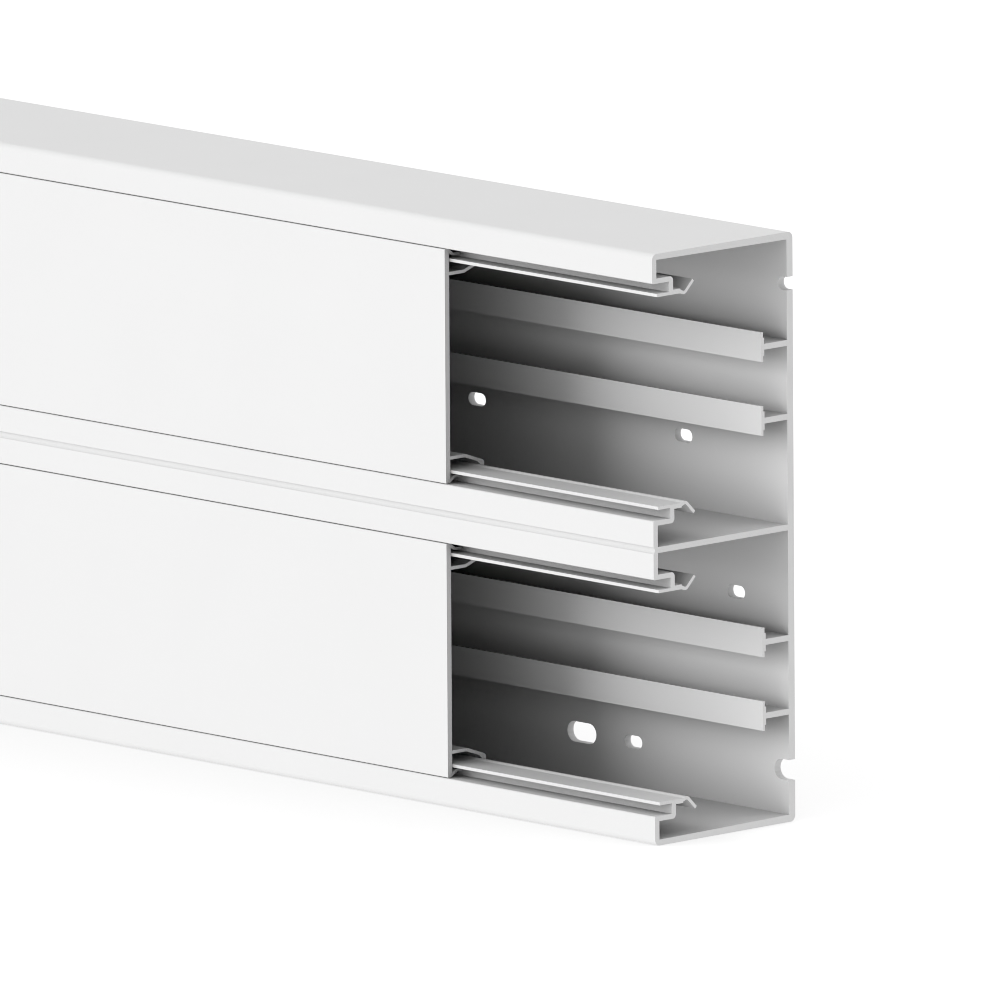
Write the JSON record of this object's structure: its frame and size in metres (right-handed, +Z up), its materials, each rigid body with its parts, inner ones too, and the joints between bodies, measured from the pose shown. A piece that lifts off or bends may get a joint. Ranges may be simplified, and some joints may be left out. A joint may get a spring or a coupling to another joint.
{
  "type": "cable trunking",
  "caption": "Wall trunking with two open-fronted cable compartments, clip-on covers, device rails and slotted back wall.",
  "frame": {"origin": "middle of the base's bottom face", "axes": "+X along the length, towards the end that the covers leave open; -Y out of the front, +Y towards the wall; +Z up"},
  "size_m": [2, 0.065, 0.2],
  "materials": {
    "white_rigid_pvc": "satin"
  },
  "bodies": {
    "base": {"trunking_base": "white_rigid_pvc"},
    "upper_cover_body": {"upper_cover": "white_rigid_pvc"},
    "lower_cover_body": {"lower_cover": "white_rigid_pvc"}
  },
  "joints": [
    {"name": "upper_cover_slide", "type": "slide", "parent": "base", "child": "upper_cover_body", "axis": [1, 0, 0], "range_m": [0, 0.1]},
    {"name": "lower_cover_slide", "type": "slide", "parent": "base", "child": "lower_cover_body", "axis": [1, 0, 0], "range_m": [0, 0.1]}
  ]
}
